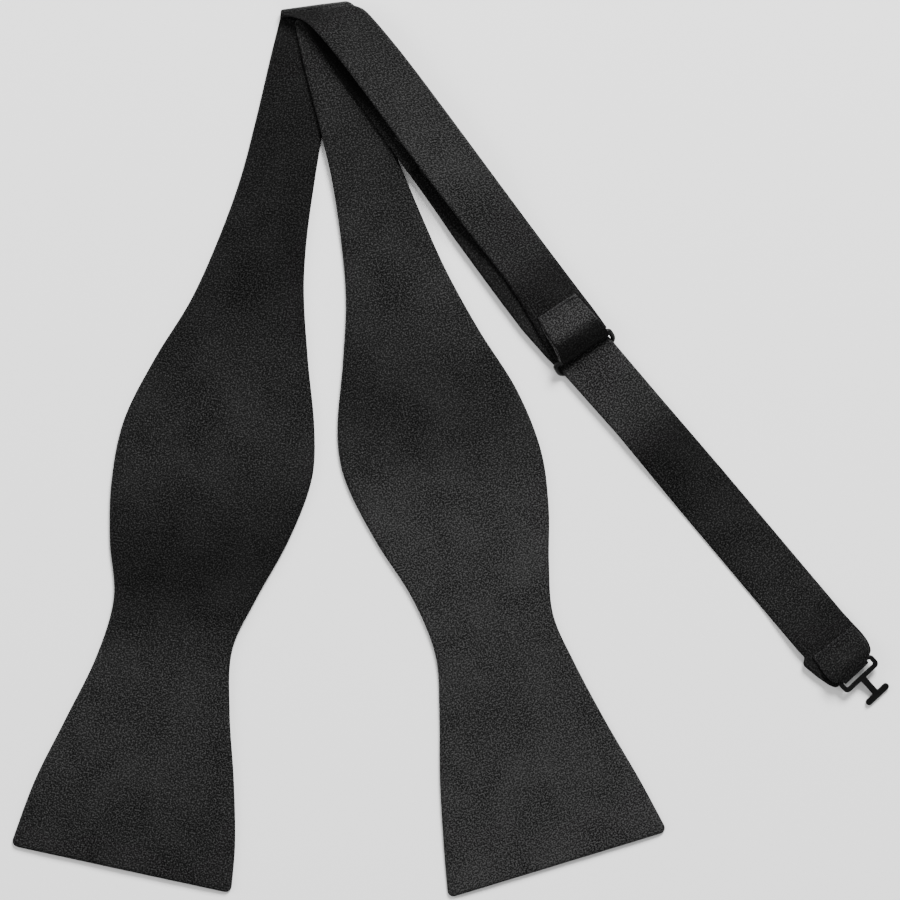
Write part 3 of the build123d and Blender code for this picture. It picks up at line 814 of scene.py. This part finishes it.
endStrap = {
    "axis": (55.4, 16.8),
    "turn": 40.1,
    "hookTurn": 43.0,
    "thick": 0.9,
    "low": 1.5,
    "tail": -102.0,
    "fold": 114.1,
    "straightEnd": 98.0,    # run where its edges start to turn in to the hook
    # run along the axis, then the left and the right edge from it
    "edges": [(-102, -6.1, 12.1), (-85, -7.5, 10.7), (-73, -8.7, 9.5), (-61, -9.5, 8.9),
              (-49, -10.3, 8.6), (-37, -10.9, 8.4), (-25, -10.6, 8.6), (-17, -9.8, 9.0),
              (8, -9.1, 9.1), (38, -9.45, 9.45), (98, -9.45, 9.45)],
    "endLeft": [(113.3, -66.5), (112.9, -67.6), (113.0, -68.8), (114.0, -69.8), (118.8, -73.6),
                (123.2, -75.9), (125.6, -74.4)],
    "endRight": [(129.2, -55.8), (131.2, -57.9), (132.8, -59.9), (134.0, -62.0), (134.5, -64.3),
                 (133.2, -67.2)],
    "endRows": 22,
    "tailRows": [0, 0.08, 0.2, 0.4, 0.65, 1.0],     # from the tail's end
    "sagStart": 8.0,        # past the slide it sinks to the table
    "sagLow": 44.0,
    "riseStart": 76.0,
    "riseEnd": 100.0,
    "rows": 110,
    "coreSunk": 0.3,        # how far the interlining lies under the strap's face, and then inside its edges
    "coreInset": 1.2,
    "corePly": 0.3,
}
# the strap's face swells past the slide, and is flat again under the turned-back end
strapSwell = {
    "starts": 116.0,
    "startRun": 20.0,
    "ends": 192.0,
    "endRun": 8.0,
    "edgeRun": 3.0,
    "even": 0.16,
    "uneven": 0.14,
    "size": 12.0,
    "seed": 9.4,
}
hookCentre = Vector((*endStrap["axis"], 0)) + heading(endStrap["turn"]) * endStrap["fold"]


def strapHeight(run):
    down = smooth((run - endStrap["sagStart"]) / (endStrap["sagLow"] - endStrap["sagStart"]))
    up = smooth((run - endStrap["riseStart"]) / (endStrap["riseEnd"] - endStrap["riseStart"]))
    return endStrap["low"] * (1 - down + down * up) + endStrap["thick"] / 2


def endStrapRows():
    along, across = heading(endStrap["turn"]), sideways(endStrap["turn"])
    axis = Vector((*endStrap["axis"], 0))
    fromTail = list(endStrap["tailRows"])
    step = (endStrap["straightEnd"] - endStrap["tail"] - fromTail[-1]) / endStrap["rows"]
    fromTail += [fromTail[-1] + step * (i + 1) for i in range(endStrap["rows"])]
    rows = []
    for end in fromTail:
        run = endStrap["tail"] + end
        middle = axis + along * run + upward * strapHeight(run)
        left, right = edgesAt(endStrap["edges"], run)
        rows.append(row(middle + across * left, middle + across * right, endStrap["thick"] / 2, end=end))
    leftAt = edgeCurve([rows[-1]["left"], *endStrap["endLeft"]])[0]
    rightAt = edgeCurve([rows[-1]["right"], *endStrap["endRight"]])[0]
    for i in range(1, endStrap["endRows"] + 1):
        left, right = leftAt(i / endStrap["endRows"]), rightAt(i / endStrap["endRows"])
        for place in (left, right):
            place.z = strapHeight((place - axis).dot(along))
        rows.append(row(left, right, endStrap["thick"] / 2))
    return measured(rows)


def strapRelief(place, fromEdge, r, side):
    if side < 0:
        return Vector((0, 0, 0))
    free = smooth((r["run"] - strapSwell["starts"]) / strapSwell["startRun"])
    free *= 1 - smooth((r["run"] - strapSwell["ends"]) / strapSwell["endRun"])
    inside = 1 - math.exp(-fromEdge / strapSwell["edgeRun"])
    wave = strapSwell["even"] + strapSwell["uneven"] * ripple(place, strapSwell["size"], strapSwell["seed"])
    return upward * inside * free * wave


# painted sheen and shade along the end strap, set by the run
def endStrapPaintedLight(place):
    run = (Vector((place.x, place.y, 0)) - Vector((*endStrap["axis"], 0))).dot(heading(endStrap["turn"]))
    return between(lies["endStrap"], run)


strapRows = endStrapRows()
strapFace = plyPiece("endStrapFace", strapRows, 1, plainCloth, strapRelief, lie=endStrapPaintedLight)
strapBack = plyPiece("endStrapBack", strapRows, -1, plainCloth, strapRelief)
strapCoreRows = [{**r, "half": r["half"] - endStrap["coreSunk"]}
                 for r in strapRows[len(endStrap["tailRows"]):-1]]
strapCore = plyPiece("endStrapInterlining", strapCoreRows, 1, {**canvasCloth, "ply": endStrap["corePly"]},
                     level, "interlining", endStrap["coreInset"])
for piece, node, rows in ((strapFace, "end_strap_face", strapRows), (strapBack, "end_strap_back", strapRows),
                          (strapCore, "end_strap_interlining", strapCoreRows)):
    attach(piece, "end_strap")
    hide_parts(node)
print("end strap done")


# the turned-back ends that hold the fittings
tuck = {
    "thick": 0.7,
    "bore": 0.75,           # inside radius round a bar
    "under": 2.4,           # how far it reaches back under the bar
    "gap": 0.03,            # between the hem and the strap
    "hemFlat": 2.5,
    "endRows": [0, 0.06, 0.15, 0.3, 0.5, 0.8],      # from either end
    "bendRows": 16,
    "topRows": 30,
    "pucker": 0.05,         # height of the ripples pulled up by the stitches
    "puckerFrom": 2.6,      # middle and half length of where they are, from the hem
    "puckerRun": 2.4,
    "puckerTurn": 3.4,      # radians of the ripple for each mm
    "swell": 0.1,
    "swellSize": 6.0,
    "edgeRun": 1.5,
    "endRoll": 1.2,
}
tuckCloth = {"columns": 40, "roll": 0.45}
loopCentre = Vector((42.6, 32.9, 0))
eyeCentre = Vector((*rightBand["axis"], 0)) + heading(rightBand["turn"]) * rightBand["end"]
bandTop = leftBand["low"] + leftBand["thick"]
rightBandTop = rightBand["high"] + rightBand["thick"]
strapTop = endStrap["low"] + endStrap["thick"]

# edges: distance back from the bar, then the left and right edge from the centre line. crest is how far back
# from the bar the cloth starts to come down round it, and bulge how high it stands over the bar there
slideLoop = {
    "length": 15.8, "turn": 34.0, "skew": 0.0, "crest": 4.2, "bulge": 0.42,
    "edges": [(0, -8.5, 9.2), (1, -8.1, 9.3), (4, -7.3, 8.9), (9, -7.2, 8.3), (13, -7.1, 7.7),
              (15.8, -7.0, 7.3)],
}
slideLining = {
    "length": 14.6, "turn": 34.0, "skew": 0.0, "crest": 3.6, "bulge": 0.42,
    "edges": [(0, -9.3, 8.2), (2, -8.7, 8.2), (5.5, -8.2, 8.0), (10, -8.0, 7.5), (14.6, -7.4, 6.9)],
}
hookLoop = {
    "length": 11.4, "turn": 43.0, "skew": 0.6, "crest": 2.4, "bulge": 0.1,
    "edges": [(0, -4.9, 5.3), (0.9, -6.6, 7.0), (2.2, -7.5, 8.5), (5, -7.6, 9.5), (8, -7.2, 9.6),
              (11.4, -6.6, 9.3)],
}
eyeLoop = {
    "length": 12.0, "turn": 37.0, "skew": 0.0, "crest": 1.5, "bulge": 0.0,
    "edges": [(0, -5.0, 5.0), (3, -5.4, 5.4), (12, -7.0, 7.0)],
}


def tuckRows(centre, size, layerTop, thick=tuck["thick"], inner=0.0):
    # rows from under the bar, round it and back along the strap to the hem. inner is cloth already on the bar
    along, across = heading(size["turn"]), sideways(size["turn"])
    half = thick / 2
    middle = tuck["bore"] + inner + half
    barHeight = layerTop + tuck["bore"]
    stations = []
    ends = tuck["endRows"]
    for end in ends:
        stations.append((end - tuck["under"], barHeight - middle, -upward, end, 0.0))
    for i in range(tuck["bendRows"] // 2):
        angle = math.radians(-90 + 180 * i / tuck["bendRows"])
        stations.append((middle * math.cos(angle), barHeight + middle * math.sin(angle),
                         along * math.cos(angle) + upward * math.sin(angle), strip["noEnd"], 0.0))
    reach, rise = size["crest"] + middle, middle + size["bulge"]
    for i in range(tuck["bendRows"] + 1):
        angle = math.radians(90 * i / tuck["bendRows"])
        normal = along * math.cos(angle) / reach + upward * math.sin(angle) / rise
        run = reach * math.cos(angle) - size["crest"]
        height = barHeight + rise * math.sin(angle)
        stations.append((run, height, normal.normalized(), strip["noEnd"], max(-run, 0.0)))
    top, low = barHeight + rise, layerTop + inner + half + tuck["gap"]
    length = size["length"]
    backs = [size["crest"] + (length - ends[-1] - size["crest"]) * (i + 1) / tuck["topRows"]
             for i in range(tuck["topRows"])]
    backs += [length - end for end in reversed(ends[:-1])]
    for back in backs:
        drop = smooth((back - size["crest"]) / (length - size["crest"] - tuck["hemFlat"]))
        stations.append((-back, top + (low - top) * drop, upward, length - back, back))
    rows = []
    for run, height, normal, end, back in stations:
        left, right = edgesAt(size["edges"], back)
        lean = along * size["skew"] * back / length
        place = centre + along * run + upward * height
        rows.append(row(place + across * left - lean, place + across * right + lean, half, normal, end=end))
    return measured(rows)


def puckered(centre, size, seed):
    # ripples that run away from the hem stitches
    length = size["length"]

    def relief(place, fromEdge, r, side):
        if r["normal"].z < 0.5 or side < 0:
            return Vector((0, 0, 0))
        beside = (place - centre).dot(sideways(size["turn"]))
        fromHem = length + (place - centre).dot(heading(size["turn"]))
        near = math.exp(-((fromHem - tuck["puckerFrom"]) / tuck["puckerRun"]) ** 2)
        inside = (1 - math.exp(-fromEdge / tuck["edgeRun"])) * rounded(r["end"], tuck["endRoll"])
        wave = math.sin(beside * tuck["puckerTurn"] + 2 * noise.noise(Vector((beside / 4, 0, seed))))
        swell = tuck["swell"] * ripple(place, tuck["swellSize"], seed)
        return r["normal"] * inside * (tuck["pucker"] * near * wave + swell)
    return relief


def loopPiece(name, body, centre, layerTop, size, seed, thick=tuck["thick"], inner=0.0, lie=noPaintedLight):
    rows = tuckRows(centre, size, layerTop, thick, inner)
    piece = closedStrip(name, rows, tuckCloth, puckered(centre, size, seed), lie)
    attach(piece, body)
    return piece


def slideLoopPaintedLight(place):
    # painted shade: the cloth is painted dark where it turns away over the bar, and lighter back along its
    # top
    return between(lies["slideLoop"], (loopCentre - place).dot(heading(slideLoop["turn"])))


# painted shade: the turned-back end is darker near its bar
def hookLoopPaintedShade(place):
    return between(lies["hookLoop"], (hookCentre - place).dot(heading(hookLoop["turn"])))


loopTop = loopPiece("slideLoop", "left_band", loopCentre, bandTop, slideLoop, 1.9, 0.4, 0.3, slideLoopPaintedLight)
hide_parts("slide_loop")
loopPiece("slideLoopLining", "left_band", loopCentre, bandTop, slideLining, 8.8, 0.3, 0.0)
hookCloth = loopPiece("hookLoop", "end_strap", hookCentre, strapTop, hookLoop, 4.4, lie=hookLoopPaintedShade)
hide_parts("hook_loop")
eyeCloth = loopPiece("eyeLoop", "right_band", eyeCentre, rightBandTop, eyeLoop, 6.6)
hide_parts("eye_loop")
print("turned-back ends done")


stitch = {
    "fromHem": 0.8,
    "length": 0.76,         # of the pitch
    "width": 0.56,
    "height": 0.3,
    "lift": 0.12,
    "inset": 0.9,           # from the ends of the hem
    "tilts": (-3, 4),       # degrees, turn about
}


def stitchRow(name, node, body, centre, size, layerTop, count):
    bm = bmesh.new()
    turn = size["turn"]
    back, left, right = size["edges"][-1]
    left, right = left + stitch["inset"], right - stitch["inset"]
    pitch = (right - left) / count
    for i in range(count):
        beside = left + (i + 0.5) * pitch
        lean = size["skew"] * (2 * (i + 0.5) / count - 1)
        middle = centre + heading(turn) * (stitch["fromHem"] - back + lean) + sideways(turn) * beside
        middle.z = layerTop + tuck["thick"] + stitch["lift"]
        tilt = Matrix.Rotation(math.radians(turn + stitch["tilts"][i % 2]), 4, "Z")
        shape = Matrix.Translation(middle) @ tilt @ Matrix.Diagonal(
            (pitch * stitch["length"] / 2, stitch["width"] / 2, stitch["height"] / 2, 1))
        bmesh.ops.create_uvsphere(bm, u_segments=12, v_segments=8, radius=1, matrix=shape)
    for face in bm.faces:
        face.smooth = True
    piece = finishPiece(name, bm, "black_thread")
    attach(piece, body)
    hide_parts(node)


stitchRow("slideLoopStitches", "slide_loop_stitches", "left_band", loopCentre, slideLoop, bandTop, 12)
stitchRow("hookLoopStitches", "hook_loop_stitches", "end_strap", hookCentre, hookLoop, strapTop, 12)
stitchRow("eyeLoopStitches", "eye_loop_stitches", "right_band", eyeCentre, eyeLoop, rightBandTop, 9)
print("stitches done")


# metal fittings
slide = {
    "half": 10.35,          # middle of the side wires from the ring's centre line
    "run": 3.8,             # between the two bars, seen from above
    "corners": (1.0, 2.3),  # at the loop's bar and at the outer one
    "wire": 0.8,            # half its thickness
    "turn": 34.0,
    "low": 0.82,            # height of the outer bar
    "shift": -0.65,
}
eye = {"half": 6.2, "run": 5.2, "corners": (1.4, 1.4), "wire": 0.6, "turn": 37.0}
ringSteps = {"corner": 7, "round": 5}       # points round a corner, and how finely the wire is rounded


def wireRing(name, node, body, ring, start, dropTo):
    # a closed ring of round wire, bent over a former: a line with rounded corners, given its thickness
    steps = ringSteps["corner"]
    along, across = heading(ring["turn"]), sideways(ring["turn"])
    tip = along * ring["run"] + upward * (dropTo - start.z)
    reach, outward = tip.length, tip.normalized()
    corners = [(0, 1), (reach, 1), (reach, -1), (0, -1)]
    line = []
    for number, (x, side) in enumerate(corners):
        corner = ring["corners"][0 if x == 0 else 1]
        centreX = corner if x == 0 else reach - corner
        centreY = (ring["half"] - corner) * side
        first = (180, 90, 0, -90)[number]
        for i in range(steps):
            angle = math.radians(first - 90 * i / (steps - 1))
            line.append(start + outward * (centreX + corner * math.cos(angle))
                        + across * (centreY + corner * math.sin(angle)))
    curve = bpy.data.curves.new(name, "CURVE")
    curve.dimensions = "3D"
    curve.bevel_depth = ring["wire"] * mm
    curve.bevel_resolution = ringSteps["round"]
    spline = curve.splines.new("POLY")
    spline.points.add(len(line) - 1)
    for point, place in zip(spline.points, line):
        point.co = (*(place * mm), 1)
    spline.use_cyclic_u = True
    drawn = bpy.data.objects.new(name + "Line", curve)
    mesh = bpy.data.meshes.new_from_object(drawn)
    mesh.name = name
    bpy.data.objects.remove(drawn)
    mesh.materials.clear()
    mesh.materials.append(finishes["black_metal"])
    for polygon in mesh.polygons:
        polygon.use_smooth = True
    piece = bpy.data.objects.new(name, mesh)
    bpy.context.scene.collection.objects.link(piece)
    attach(piece, body)
    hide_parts(node)


slideBar = loopCentre + sideways(slide["turn"]) * slide["shift"] + upward * (bandTop + tuck["bore"])
wireRing("slideWire", "slide", "left_band", slide, slideBar, slide["low"])
eyeBar = eyeCentre + upward * (rightBandTop + tuck["bore"])
wireRing("eyeWire", "eye", "eye", eye, eyeBar, eyeBar.z)

# the stamped hook: its corners rounded by the tumbling drum and the enamel
hookFinish = {
    "weld": 0.002,
    "flat": math.radians(3),        # faces that turn less than this are one
    "sharp": math.radians(50),      # edges that turn more than this are rounded
    "round": 0.22,
    "steps": 3,
    "shift": 0.5,           # sideways in its loop
}
hookBm = bmesh.new()
hookBm.from_mesh(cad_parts["hook"].data)
bmesh.ops.scale(hookBm, vec=(1 / mm, 1 / mm, 1 / mm), verts=hookBm.verts)
bmesh.ops.remove_doubles(hookBm, verts=hookBm.verts, dist=hookFinish["weld"])
bmesh.ops.dissolve_limit(hookBm, angle_limit=hookFinish["flat"], verts=hookBm.verts, edges=hookBm.edges)
sharp = [e for e in hookBm.edges if len(e.link_faces) == 2 and e.calc_face_angle(0) > hookFinish["sharp"]]
bmesh.ops.bevel(hookBm, geom=sharp, offset=hookFinish["round"], offset_type="OFFSET",
                segments=hookFinish["steps"], profile=0.5, affect="EDGES", material=-1, clamp_overlap=True)
for face in hookBm.faces:
    face.smooth = True
aside = sideways(endStrap["hookTurn"]) * hookFinish["shift"]
bmesh.ops.translate(hookBm, vec=aside, verts=hookBm.verts)
hookPlate = finishPiece("hookPlate", hookBm, "black_metal")
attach(hookPlate, "hook")
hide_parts("hook")
print("fittings done")
